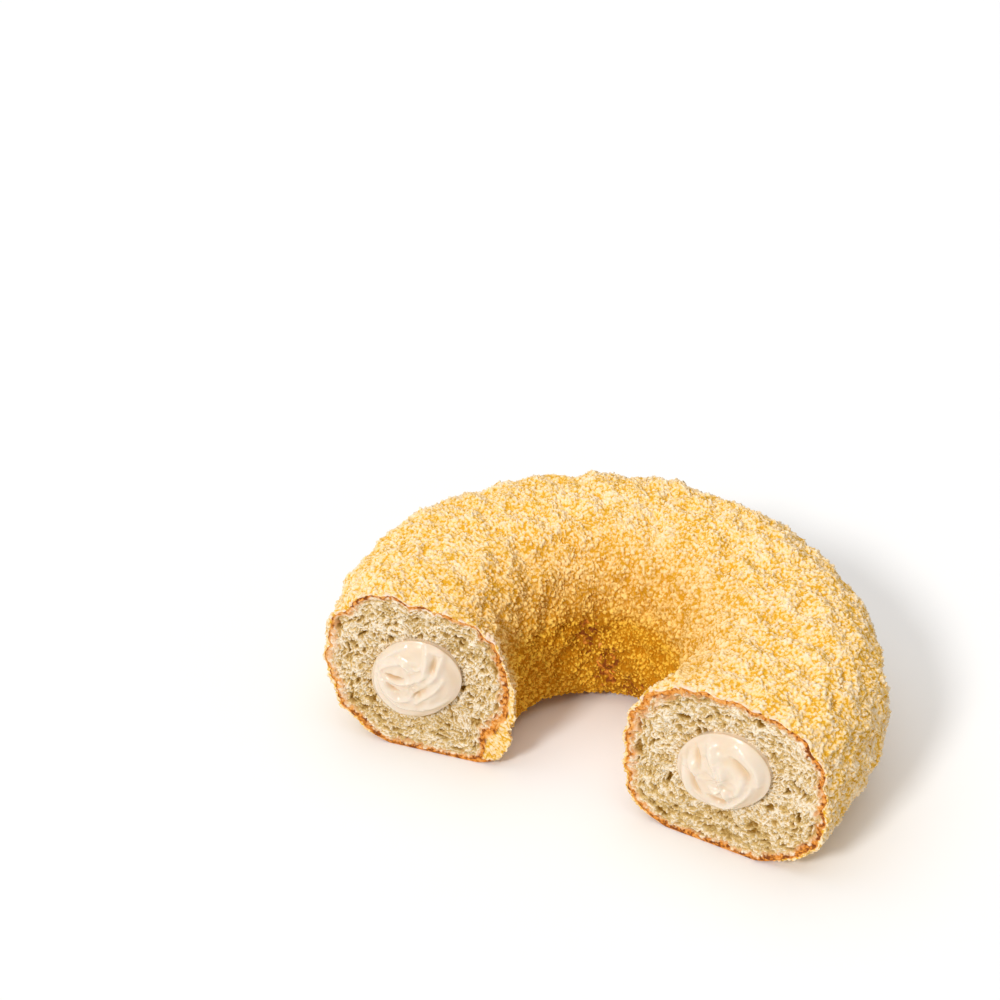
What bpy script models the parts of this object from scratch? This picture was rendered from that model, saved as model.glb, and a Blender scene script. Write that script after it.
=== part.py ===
"""A cut ring doughnut: a fried yeast ring, coated with castella crumbs and filled with cream.

A straight knife stroke, a little in front of the ring's axis, has taken its front off, so that it
shows two cut faces, each with the end of the cream in its middle. The ring lies flat with its axis
along +Z, and the cut faces look along -Y. The origin is the bottom centre of the whole piece's box.
"""

import math
import random

import bmesh
import bpy
from mathutils import Matrix, Vector, noise

# The ring's section, in metres
RING_OUTER_RADIUS = 0.048
TUBE_HALF_WIDTH = 0.0172
TUBE_HEIGHT = 0.0333
INNER_WIDEST_LEVEL = 0.0145
OUTER_WIDEST_LEVEL = 0.0166
TOP_SQUARENESS = 2.8
INNER_BASE_SQUARENESS = 4.0
OUTER_BASE_SQUARENESS = 2.1
BASE_FLATTENING = 0.0007
CLUMPS_PROUD = 0.0006

# The ring's uneven rise outside and in its hole: (angle, angle it dies out over, how far it stands out)
OUTER_SWELLS = ((19, 26, 0.0016), (64, 16, 0.0006), (150, 19, 0.0016), (191, 14, -0.0009))
INNER_SWELLS = ((-55, 30, 0.0018),)
SWELL_NOISE_SIZE = 0.012
SWELL_NOISE_DEPTH = 0.0009
LUMP_NOISE_SIZE = 0.0032
LUMP_NOISE_DEPTH = 0.0011
NOISE_FADE_LEVEL = 0.006

# The knife's cuts: how far in front of the axis each section's middle lies
RIGHT_CUT_OFFSET = 0.0114
LEFT_CUT_OFFSET = 0.0096
CUT_TURN = math.radians(5.3)
KNIFE_OVERLAP = 0.005
KNIFE_SIZE = 0.12

# The cream, a cord of it that fills the ring's channel and bulges out at the cuts
CREAM_HALF_WIDTH = 0.0081
CREAM_HALF_HEIGHT = 0.0076
CREAM_LEVEL = 0.0168
CREAM_OFFSET = -0.0006
CREAM_BULGE = 0.0038
CREAM_GAP = 0.0003
SWIRL_FOLDS = 4
SWIRL_TURN = math.radians(250)
SWIRL_DEPTH = 0.11

# The largest clumps of the crumb coat
CLUMP_COUNT = 124
CLUMP_RADIUS = (0.0010, 0.0016)
CLUMP_SPACING = 0.0060
CLUMP_SINK = 0.30
CLUMP_LOWEST = 0.0030
CLUMP_JITTER = 0.20
CLUMP_SEED = 11

# How finely the shapes are divided
RING_STEPS = 100
SECTION_POINTS = 42
CHANNEL_STEPS = 40
CREAM_SEGMENTS = 24
CREAM_RINGS = 44
CREAM_HIDDEN_RINGS = 28
SEAM_MERGE = 0.00005

RING_RADIUS = RING_OUTER_RADIUS - TUBE_HALF_WIDTH
RING_CENTRE_X = -0.0004
RING_CENTRE_Y = (RIGHT_CUT_OFFSET + CREAM_BULGE - RING_OUTER_RADIUS) / 2
RING_CENTRE = Vector((RING_CENTRE_X, RING_CENTRE_Y, 0.0))
FRONT, BACK = -math.pi / 2, math.pi / 2
LEFT, RIGHT = -1, 1


def clear_scene():
    """Removes every object that the scene starts with."""
    for old in list(bpy.data.objects):
        bpy.data.objects.remove(old)


def new_collection(name):
    """A new collection under the scene's own."""
    made = bpy.data.collections.new(name)
    bpy.context.scene.collection.children.link(made)
    return made


def new_material(name, colour, roughness, subsurface):
    """A Principled material; subsurface is how much of its light soaks in."""
    material = bpy.data.materials.new(name)
    material.use_nodes = True
    shader = material.node_tree.nodes["Principled BSDF"]
    shader.inputs["Base Color"].default_value = (*colour, 1.0)
    shader.inputs["Roughness"].default_value = roughness
    shader.inputs["Metallic"].default_value = 0.0
    shader.inputs["Subsurface Weight"].default_value = subsurface
    return material


def move_to(piece, collection):
    """Puts an object into one collection and takes it out of any other."""
    for old in list(piece.users_collection):
        old.objects.unlink(piece)
    collection.objects.link(piece)


def mark_as_cutter(piece, collection):
    """A cutter isn't part of the object: it is drawn as wire and not rendered."""
    move_to(piece, collection)
    piece.hide_render = True
    piece.display_type = "WIRE"


def apply_modifiers(piece):
    """Turns what an object's modifiers make into its own mesh, placed in the mesh itself."""
    bpy.context.view_layer.update()
    graph = bpy.context.evaluated_depsgraph_get()
    mesh = bpy.data.meshes.new_from_object(piece.evaluated_get(graph))
    mesh.transform(piece.matrix_world)
    piece.modifiers.clear()
    piece.data = mesh
    piece.matrix_world = Matrix.Identity(4)


def add_boolean(target, name, operation):
    """A Boolean modifier; on a ring with clumps fused to it, the exact solver loses the ring."""
    made = target.modifiers.new(name, "BOOLEAN")
    made.operation = operation
    made.solver = "MANIFOLD"
    return made


def signed_power(value, power):
    """A value to a power, with the value's sign."""
    return math.copysign(abs(value) ** power, value)


def ring_section(angle):
    """(distance out from the tube's middle, height) on the section; angle 0 looks outwards, 90 up."""
    side, rise = math.cos(angle), math.sin(angle)
    base_squareness = OUTER_BASE_SQUARENESS if side >= 0 else INNER_BASE_SQUARENESS
    squareness = TOP_SQUARENESS if rise >= 0 else base_squareness
    outer_share = (1 + side) / 2
    widest = INNER_WIDEST_LEVEL + (OUTER_WIDEST_LEVEL - INNER_WIDEST_LEVEL) * outer_share
    depth = TUBE_HEIGHT - CLUMPS_PROUD - widest if rise >= 0 else widest + BASE_FLATTENING
    out = (TUBE_HALF_WIDTH - CLUMPS_PROUD) * signed_power(side, 2 / squareness)
    return out, max(widest + depth * signed_power(rise, 2 / squareness), 0.0)


def channel_section(angle):
    """(distance out from the tube's middle, height) on the section of the cream's channel."""
    out = CREAM_OFFSET + (CREAM_HALF_WIDTH + CREAM_GAP) * math.cos(angle)
    return out, CREAM_LEVEL + (CREAM_HALF_HEIGHT + CREAM_GAP) * math.sin(angle)


def turned_ring(name, section, points, steps):
    """A ring turned about the axis from a closed section, which runs down its outer side."""
    outline = [section(-2 * math.pi * i / points) for i in range(points)]
    mesh = bpy.data.meshes.new(name)
    mesh.from_pydata(
        [(RING_RADIUS + out, 0.0, height) for out, height in outline],
        [(i, (i + 1) % points) for i in range(points)],
        [],
    )
    made = bpy.data.objects.new(name, mesh)
    made.location = RING_CENTRE
    bpy.context.scene.collection.objects.link(made)
    turn = made.modifiers.new("turn", "SCREW")
    turn.steps = turn.render_steps = steps
    turn.use_merge_vertices = True
    turn.merge_threshold = SEAM_MERGE
    return made


def swell_at(angle, swells):
    """How far some swells together stand out at an angle about the axis."""
    away = [((angle - centre + 180) % 360 - 180) / spread for centre, spread, _ in swells]
    return sum(swell[2] * math.exp(-(far**2)) for swell, far in zip(swells, away))


def unevenness(point, normal):
    """How far the risen and coated ring stands off the even one at a point of its surface."""
    radial = (point - RING_CENTRE) * Vector((1.0, 1.0, 0.0))
    angle = math.degrees(math.atan2(radial.y, radial.x))
    side = (radial.length - RING_RADIUS) / TUBE_HALF_WIDTH
    push = side * swell_at(angle, OUTER_SWELLS if side > 0 else INNER_SWELLS)
    rough = SWELL_NOISE_DEPTH * noise.noise(point / SWELL_NOISE_SIZE)
    rough += LUMP_NOISE_DEPTH * noise.noise(point / LUMP_NOISE_SIZE)
    fade = min(1.0, point.z / NOISE_FADE_LEVEL)
    return (radial.normalized() * push - normal * rough) * fade


def roughen(ring):
    """Moves every point of the ring by its unevenness; its flat underside stays flat."""
    moves = [unevenness(vertex.co, vertex.normal) for vertex in ring.data.vertices]
    for vertex, move in zip(ring.data.vertices, moves):
        vertex.co += move
        vertex.co.z = max(vertex.co.z, 0.0)


def cut_plane(side):
    """(the middle of the section there, the cut's outward normal, that normal's angle)."""
    offset = RIGHT_CUT_OFFSET if side == RIGHT else LEFT_CUT_OFFSET
    angle = FRONT + side * math.acos(offset / RING_RADIUS)
    middle = RING_CENTRE + RING_RADIUS * Vector((math.cos(angle), math.sin(angle), 0.0))
    normal_angle = FRONT - side * CUT_TURN
    return middle, Vector((math.cos(normal_angle), math.sin(normal_angle), 0.0)), normal_angle


def in_front_of_cut(point):
    """How far a point lies in front of the cut on its own side of the ring."""
    middle, normal, _ = cut_plane(RIGHT if point.x > 0 else LEFT)
    return (point - middle).dot(normal)


def knife_cutter(name, side, material, cutters):
    """A block over all that lies in front of one cut, up to just past the ring's middle plane."""
    middle, normal, normal_angle = cut_plane(side)
    bpy.ops.mesh.primitive_cube_add(size=KNIFE_SIZE)
    block = bpy.context.object
    block.name = name
    block.rotation_euler.z = normal_angle
    outwards = Matrix.Rotation(side * math.pi / 2, 3, "Z") @ normal
    inner_reach = abs(middle.x - RING_CENTRE_X) + KNIFE_OVERLAP
    block.location = middle + normal * KNIFE_SIZE / 2 + outwards * (KNIFE_SIZE / 2 - inner_reach)
    block.data.materials.append(material)
    mark_as_cutter(block, cutters)
    return block


def spread_over_coat(ring):
    """(point, normal) pairs at even distances over the coated surface behind the cuts."""
    draw = random.Random(CLUMP_SEED)
    faces = [face for face in ring.data.polygons if face.center.z > CLUMP_LOWEST]
    areas = [face.area for face in faces]
    found = []
    while len(found) < CLUMP_COUNT:
        face = draw.choices(faces, areas)[0]
        corners = [ring.data.vertices[i].co for i in face.vertices]
        along, across = draw.random(), draw.random()
        point = corners[0].lerp(corners[1], along).lerp(corners[-1].lerp(corners[-2], along), across)
        apart = all((point - other).length > CLUMP_SPACING for other, _ in found)
        if apart and point.z > CLUMP_LOWEST and in_front_of_cut(point) < 0:
            found.append((point, face.normal.copy()))
    return found


def make_clump(name, radius, draw, collection):
    """A lumpy crumb, an icosphere with every corner moved a little in or out."""
    mesh = bpy.data.meshes.new(name)
    shape = bmesh.new()
    bmesh.ops.create_icosphere(shape, subdivisions=1, radius=radius)
    for vertex in shape.verts:
        vertex.co *= 1 + draw.uniform(-CLUMP_JITTER, CLUMP_JITTER)
    shape.to_mesh(mesh)
    shape.free()
    clump = bpy.data.objects.new(name, mesh)
    collection.objects.link(clump)
    return clump


def fuse_clumps(ring):
    """Joins the coat's largest clumps to the ring, the largest of them placed first."""
    clumps = new_collection("clumps")
    draw = random.Random(CLUMP_SEED + 1)
    smallest, largest = CLUMP_RADIUS
    for index, (point, normal) in enumerate(spread_over_coat(ring)):
        radius = largest + (smallest - largest) * index / (CLUMP_COUNT - 1)
        clump = make_clump(f"clump_{index:03d}", radius, draw, clumps)
        turn = Matrix.Rotation(draw.uniform(0, 2 * math.pi), 4, normal)
        clump.matrix_world = Matrix.Translation(point - normal * radius * CLUMP_SINK) @ turn
    union = add_boolean(ring, "clumps", "UNION")
    union.operand_type = "COLLECTION"
    union.collection = clumps
    apply_modifiers(ring)
    for clump in list(clumps.objects):
        bpy.data.objects.remove(clump)
    bpy.data.collections.remove(clumps)


def make_doughnut(parts, cutters, coat, bread):
    """The bread ring and its crumb coat, cut by the knife and hollowed for the cream."""
    doughnut = turned_ring("doughnut", ring_section, SECTION_POINTS, RING_STEPS)
    move_to(doughnut, parts)
    doughnut.data.materials.append(coat)
    apply_modifiers(doughnut)
    roughen(doughnut)
    fuse_clumps(doughnut)
    for name, side in (("left_cut", LEFT), ("right_cut", RIGHT)):
        cut = add_boolean(doughnut, name, "DIFFERENCE")
        cut.object = knife_cutter(name, side, bread, cutters)
    channel = turned_ring("cream_channel", channel_section, CREAM_SEGMENTS, CHANNEL_STEPS)
    channel.data.materials.append(bread)
    mark_as_cutter(channel, cutters)
    add_boolean(doughnut, "cream_channel", "DIFFERENCE").object = channel


def angle_at_cut(side, radius):
    """The angle about the axis at which a circle of some radius meets a cut."""
    middle, normal, normal_angle = cut_plane(side)
    reach = math.acos((middle - RING_CENTRE).dot(normal) / radius)
    return normal_angle + reach if side == RIGHT else normal_angle - reach + 2 * math.pi


def cream_point(direction):
    """Where a point of the unit sphere lies on the cream; the sphere's two poles are its tips.

    The sphere's middle rings follow the channel from the back of the ring to the cuts, and the
    rest make a dome past each cut, with folds that wind in towards its tip.
    """
    side = RIGHT if direction.z > 0 else LEFT
    around = math.atan2(direction.y, direction.x)
    ring = math.asin(min(1.0, abs(direction.z))) / math.pi * CREAM_RINGS
    hidden = CREAM_HIDDEN_RINGS / 2
    run = min(1.0, ring / hidden)
    past = max(0.0, (ring - hidden) / (CREAM_RINGS / 2 - hidden))
    fold = SWIRL_DEPTH * math.sin(math.pi * past) * math.cos(SWIRL_FOLDS * around + SWIRL_TURN * past)
    width = math.cos(past * math.pi / 2) * (1 + fold)
    out = CREAM_OFFSET + CREAM_HALF_WIDTH * width * math.cos(around)
    height = CREAM_LEVEL + CREAM_HALF_HEIGHT * width * math.sin(around)
    angle = BACK + (angle_at_cut(side, RING_RADIUS + out) - BACK) * run
    on_ring = (RING_RADIUS + out) * Vector((math.cos(angle), math.sin(angle), 0.0))
    bulge = cut_plane(side)[1] * CREAM_BULGE * math.sin(past * math.pi / 2)
    return RING_CENTRE + on_ring + bulge + Vector((0.0, 0.0, height))


def make_cream(parts, material):
    """The cream, a sphere drawn out along the channel, domed and folded at its two ends."""
    bpy.ops.mesh.primitive_uv_sphere_add(segments=CREAM_SEGMENTS, ring_count=CREAM_RINGS, radius=1)
    cream = bpy.context.object
    cream.name = "cream"
    move_to(cream, parts)
    for vertex in cream.data.vertices:
        vertex.co = cream_point(vertex.co)
    cream.data.shade_smooth()
    cream.data.materials.append(material)


def main():
    """Builds the two solids."""
    clear_scene()
    parts = new_collection("castella_ring_doughnut")
    cutters = new_collection("cutters")
    coat = new_material("castella_crumb", (0.93, 0.70, 0.30), 0.85, 0.2)
    bread = new_material("yeast_bread", (0.74, 0.60, 0.38), 0.8, 0.2)
    cream = new_material("cream", (0.93, 0.82, 0.66), 0.3, 0.3)
    make_doughnut(parts, cutters, coat, bread)
    make_cream(parts, cream)


main()
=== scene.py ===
"""The looks of a cut ring doughnut: its crumb coat, the bread in its two cut faces and its cream.

The ring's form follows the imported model's sizes. The crumb coat is rough crumbs on lumpy piles, each
cut face is a slice of bread with open pores, and the cream is a cord that swells out of both cuts in
folds. Sizes are in metres unless a docstring says otherwise.
"""

import logging
import math
from collections.abc import Iterator
from dataclasses import dataclass
from enum import Enum
from typing import Any

import bpy
import numpy as np
from mathutils import Matrix, Vector, noise


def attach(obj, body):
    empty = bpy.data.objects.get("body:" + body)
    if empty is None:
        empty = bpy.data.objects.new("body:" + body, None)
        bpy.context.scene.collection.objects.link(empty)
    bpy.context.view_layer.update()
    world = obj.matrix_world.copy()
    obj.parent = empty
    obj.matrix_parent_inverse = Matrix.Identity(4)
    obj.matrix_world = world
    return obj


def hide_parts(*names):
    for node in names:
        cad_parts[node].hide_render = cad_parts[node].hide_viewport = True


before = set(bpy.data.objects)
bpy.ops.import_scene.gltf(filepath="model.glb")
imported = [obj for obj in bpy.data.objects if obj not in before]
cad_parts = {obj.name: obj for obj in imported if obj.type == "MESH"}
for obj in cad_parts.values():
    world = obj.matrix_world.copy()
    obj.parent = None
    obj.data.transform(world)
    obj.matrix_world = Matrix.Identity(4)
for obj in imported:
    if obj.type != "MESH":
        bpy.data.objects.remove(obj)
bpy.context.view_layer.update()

log = logging.getLogger("ring_doughnut")
MM = 0.001
UP = np.array([0.0, 0.0, 1.0])
FAR = 9.0  # in cell widths, further than any cell's nearest point
SEAM_MERGE = 0.000001


class Side(Enum):
    """The two arms of the cut ring, as seen from the front."""

    LEFT = -1
    RIGHT = 1


def smoothstep(low: float, high: float, value: np.ndarray) -> np.ndarray:
    """Rises smoothly from 0 at low to 1 at high.

    Args:
        low: Where the result is 0.
        high: Where the result is 1.
        value: The numbers to map.

    Returns:
        An array like value, from 0 to 1.
    """
    share = np.clip((value - low) / (high - low), 0.0, 1.0)
    return share * share * (3.0 - 2.0 * share)


def unit(vectors: np.ndarray) -> np.ndarray:
    """Vectors of length 1, the same way as those given along the last axis."""
    return vectors / np.maximum(np.linalg.norm(vectors, axis=-1, keepdims=True), 1e-12)


def perlin(points: np.ndarray, size: float) -> np.ndarray:
    """Smooth noise, from -1 to 1, of the given size.

    Args:
        points: Positions in metres, one in each row.
        size: The width of the noise's swells in metres.

    Returns:
        One number for each row.
    """
    scaled = points / size
    return np.array([noise.noise(Vector(row)) for row in scaled])


def warp(points: np.ndarray, size: float) -> np.ndarray:
    """Smooth noise vectors, from -1 to 1 along each axis, of the given size."""
    return np.stack([perlin(points + 0.05 * (axis + 1), size) for axis in range(3)], axis=1)


@dataclass(frozen=True)
class CellNoise:
    """Random points, one to a cell, for crumbs and pores.

    Attributes:
        size: The cells' width in metres.
        seed: Picks another set of points.
    """

    size: float
    seed: int

    def _draw(self, mixed: np.ndarray, channel: int) -> np.ndarray:
        """Random numbers from 0 to 1, another one for each channel."""
        mixed = (mixed ^ (self.seed * 2654435761 + channel * 97531)) & 0xFFFFFFFF
        mixed = ((mixed ^ (mixed >> 15)) * 2246822519) & 0xFFFFFFFF
        mixed = ((mixed ^ (mixed >> 13)) * 3266489917) & 0xFFFFFFFF
        return ((mixed ^ (mixed >> 16)) & 0xFFFFFF) / float(0xFFFFFF)

    def around(self, points: np.ndarray) -> Iterator[tuple[np.ndarray, np.ndarray]]:
        """The random points in each position's own cell and the 26 about it, cell by cell.

        Args:
            points: Positions in metres, one in each row.

        Yields:
            The random points' positions in metres and their own random numbers.
        """
        home = np.floor(points / self.size).astype(np.int64)
        for step in np.ndindex(3, 3, 3):
            cells = home + (np.array(step) - 1)
            mixed = cells[:, 0] * 73856093 ^ cells[:, 1] * 19349663 ^ cells[:, 2] * 83492791
            spot = cells + np.stack([self._draw(mixed, channel) for channel in range(3)], axis=1)
            yield spot * self.size, self._draw(mixed, 3)

    def nearest(self, points: np.ndarray) -> tuple[np.ndarray, np.ndarray, np.ndarray]:
        """Finds the two nearest random points.

        Args:
            points: Positions in metres, one in each row.

        Returns:
            The distances to them in cell widths, and the nearest one's own random number.
        """
        first, second = np.full((2, len(points)), FAR)
        number = np.zeros(len(points))
        for spot, draw in self.around(points):
            away = np.linalg.norm(points - spot, axis=1) / self.size
            second = np.minimum(second, np.maximum(first, away))
            closer = away < first
            first[closer], number[closer] = away[closer], draw[closer]
        return first, second, number


@dataclass(frozen=True)
class CrumbLayer:
    """Rough balls strewn through space; those near a surface stand out of it as its crumbs.

    Attributes:
        cell: The balls lie one to a cell of this width.
        seed: Picks another layer.
        smallest: The smallest ball's radius.
        largest: The largest ball's radius.
        highest: How far above the surface a ball's middle may lie.
        rough: How far the balls' outlines stray from round.
    """

    cell: float
    seed: int
    smallest: float
    largest: float
    highest: float
    rough: float

    def tops(self, points: np.ndarray, normals: np.ndarray) -> tuple[np.ndarray, np.ndarray]:
        """How far the crumbs stand out.

        Args:
            points: Positions on the surface, one in each row.
            normals: The outward normals there.

        Returns:
            The heights, and the random number of the ball on top.
        """
        height, number = np.full(len(points), -0.4 * self.smallest), np.zeros(len(points))
        strayed = points + self.rough * warp(points, 0.35 * MM)
        for spot, draw in CellNoise(self.cell, self.seed).around(strayed):
            offset = spot - strayed
            level = np.einsum("ij,ij->i", offset, normals)
            radius = self.smallest + (self.largest - self.smallest) * draw**2
            room = radius**2 + level**2 - np.einsum("ij,ij->i", offset, offset)
            reach = level + np.sqrt(np.maximum(room, 0.0))
            better = (room > 0.0) & (level < self.highest) & (reach > height)
            height[better], number[better] = reach[better], draw[better]
        return height, number


@dataclass(frozen=True)
class RingForm:
    """The form of the risen ring, its cuts and its channel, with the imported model's sizes."""

    outer_radius: float = 0.048
    half_width: float = 0.0172
    height: float = 0.0333
    inner_widest: float = 0.0145
    outer_widest: float = 0.0166
    top_squareness: float = 2.8
    inner_base_squareness: float = 4.0
    outer_base_squareness: float = 2.1
    flattening: float = 0.0007
    outer_swells: tuple[tuple[float, float, float], ...] = (
        (19, 26, 0.0016),
        (64, 16, 0.0006),
        (150, 19, 0.0016),
        (191, 14, -0.0009),
    )
    inner_swells: tuple[tuple[float, float, float], ...] = ((-55, 30, 0.0018),)
    swell_noise_size: float = 0.012
    swell_noise_depth: float = 0.0009
    lump_noise_size: float = 0.0032
    lump_noise_depth: float = 0.0011
    noise_fade_level: float = 0.006
    right_cut_offset: float = 0.0114
    left_cut_offset: float = 0.0096
    cut_turn: float = math.radians(5.3)
    cream_half_width: float = 0.0081
    cream_half_height: float = 0.0076
    cream_level: float = 0.0168
    cream_offset: float = -0.0006
    cream_bulge: float = 0.0038
    centre_x: float = -0.0004

    @property
    def radius(self) -> float:
        """The radius of the tube's middle line."""
        return self.outer_radius - self.half_width

    @property
    def centre(self) -> np.ndarray:
        """The foot of the ring's axis."""
        front = self.right_cut_offset + self.cream_bulge
        return np.array([self.centre_x, (front - self.outer_radius) / 2, 0.0])

    def section(self, angles: np.ndarray, inset: float) -> tuple[np.ndarray, np.ndarray]:
        """The tube's section; angle 0 looks away from the axis and 90 degrees looks up.

        Args:
            angles: Where round the section, in radians.
            inset: How far inside the coat's outermost crumbs.

        Returns:
            How far each point lies out from the tube's middle line, and its height.
        """
        side, rise = np.cos(angles), np.sin(angles)
        base = np.where(side >= 0, self.outer_base_squareness, self.inner_base_squareness)
        power = 2.0 / np.where(rise >= 0, self.top_squareness, base)
        widest = self.inner_widest + (self.outer_widest - self.inner_widest) * (1 + side) / 2
        depth = np.where(rise >= 0, self.height - inset - widest, widest + self.flattening)
        out = (self.half_width - inset) * np.sign(side) * np.abs(side) ** power
        return out, np.maximum(widest + depth * np.sign(rise) * np.abs(rise) ** power, 0.0)

    def even_angles(self, count: int, flat_share: float = 1.0) -> np.ndarray:
        """Section angles, counter-clockwise, whose points lie at even distances round the section.

        Args:
            count: How many.
            flat_share: How close together they lie on the flat underside, against elsewhere.

        Returns:
            The angles in radians.
        """
        dense = np.linspace(0.0, 2 * math.pi, 6001)
        out, level = self.section(dense, 0.0)
        steps = np.hypot(np.diff(out), np.diff(level)) * np.where(level[1:] > 0.0, 1.0, flat_share)
        lengths = np.concatenate([[0.0], np.cumsum(steps)])
        return np.interp(np.arange(count) / count * lengths[-1], lengths, dense)

    def cut_plane(self, side: Side) -> tuple[np.ndarray, np.ndarray, float]:
        """The plane that the knife left on one arm.

        Args:
            side: The arm.

        Returns:
            The middle of the section there on the floor, the cut's outward normal and its angle.
        """
        offset = self.right_cut_offset if side is Side.RIGHT else self.left_cut_offset
        angle = -math.pi / 2 + side.value * math.acos(offset / self.radius)
        middle = self.centre + self.radius * np.array([math.cos(angle), math.sin(angle), 0.0])
        normal_angle = -math.pi / 2 - side.value * self.cut_turn
        return middle, np.array([math.cos(normal_angle), math.sin(normal_angle), 0.0]), normal_angle

    def angle_at_cut(self, side: Side, radius: np.ndarray) -> np.ndarray:
        """The angle about the axis at which circles of some radius meet a cut."""
        middle, normal, normal_angle = self.cut_plane(side)
        reach = np.arccos(np.dot(middle - self.centre, normal) / radius)
        if side is Side.RIGHT:
            return normal_angle + reach
        return normal_angle - reach + 2 * math.pi

    def place(self, run: np.ndarray, out: np.ndarray, level: np.ndarray) -> np.ndarray:
        """Points of the tube.

        Args:
            run: From 0 on the left cut to 1 on the right cut.
            out: How far out from the tube's middle line.
            level: The height.

        Returns:
            Positions along a new last axis.
        """
        radius = self.radius + out
        left, right = self.angle_at_cut(Side.LEFT, radius), self.angle_at_cut(Side.RIGHT, radius)
        angle = left + (right - left) * run
        flat = np.stack([np.cos(angle), np.sin(angle), np.zeros_like(angle)], axis=-1)
        return self.centre + radius[..., None] * flat + np.asarray(level)[..., None] * UP

    def surface(self, run: np.ndarray, angles: np.ndarray, inset: float) -> tuple[np.ndarray, np.ndarray]:
        """The even ring's surface.

        Args:
            run: From 0 on the left cut to 1 on the right cut.
            angles: Where round the section.
            inset: How far inside the coat's outermost crumbs.

        Returns:
            Positions and outward normals.
        """
        out, level = self.section(angles, inset)
        points = self.place(run, out, level)
        step = 0.01
        after, before = self.section(angles + step, inset), self.section(angles - step, inset)
        around = self.place(run, *after) - self.place(run, *before)
        along = self.place(run + step, out, level) - self.place(run - step, out, level)
        return points, unit(np.cross(around, along))

    def unevenness(self, points: np.ndarray, normals: np.ndarray) -> np.ndarray:
        """How far the risen ring stands off the even one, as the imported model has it.

        Args:
            points: Positions on the even ring, one in each row.
            normals: The outward normals there.

        Returns:
            A move for each row.
        """
        radial = (points - self.centre) * np.array([1.0, 1.0, 0.0])
        length = np.linalg.norm(radial, axis=1)
        angle = np.degrees(np.arctan2(radial[:, 1], radial[:, 0]))
        share = (length - self.radius) / self.half_width
        push = np.zeros(len(points))
        for swells, own in ((self.outer_swells, share > 0), (self.inner_swells, share <= 0)):
            for middle, spread, height in swells:
                away = (angle - middle + 180) % 360 - 180
                push += height * np.exp(-((away / spread) ** 2)) * share * own
        rough = self.swell_noise_depth * perlin(points, self.swell_noise_size)
        rough += self.lump_noise_depth * perlin(points, self.lump_noise_size)
        fade = np.minimum(1.0, points[:, 2] / self.noise_fade_level)
        return (unit(radial) * push[:, None] - normals * rough[:, None]) * fade[:, None]

    def flatten_to_cut(self, side: Side, points: np.ndarray) -> np.ndarray:
        """Moves points straight onto a cut's plane."""
        middle, normal, _ = self.cut_plane(side)
        return points - ((points - middle) @ normal)[:, None] * normal


class Wire:
    """A shader value; sums and products of it add their own Math nodes."""

    def __init__(self, graph: "Graph", socket: bpy.types.NodeSocket | None) -> None:
        """Keeps the graph and the output socket; the last node of a graph has none."""
        self.graph = graph
        self.socket = socket

    def _math(self, operation: str, *values: Any) -> "Wire":
        """A Math node of the values in order."""
        return self.graph.node("ShaderNodeMath", {"operation": operation}, dict(enumerate(values)))

    def __add__(self, other: Any) -> "Wire":
        """self + other."""
        return self._math("ADD", self, other)

    def __sub__(self, other: Any) -> "Wire":
        """self - other."""
        return self._math("SUBTRACT", self, other)

    def __rsub__(self, other: Any) -> "Wire":
        """other - self."""
        return self._math("SUBTRACT", other, self)

    def __mul__(self, other: Any) -> "Wire":
        """self * other."""
        return self._math("MULTIPLY", self, other)

    __radd__ = __add__
    __rmul__ = __mul__

    def rise(self, low: float, high: float) -> "Wire":
        """A smooth step from 0 at low to 1 at high."""
        settings = {"interpolation_type": "SMOOTHSTEP"}
        inputs = {"Value": self, "From Min": low, "From Max": high}
        return self.graph.node("ShaderNodeMapRange", settings, inputs)


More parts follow.
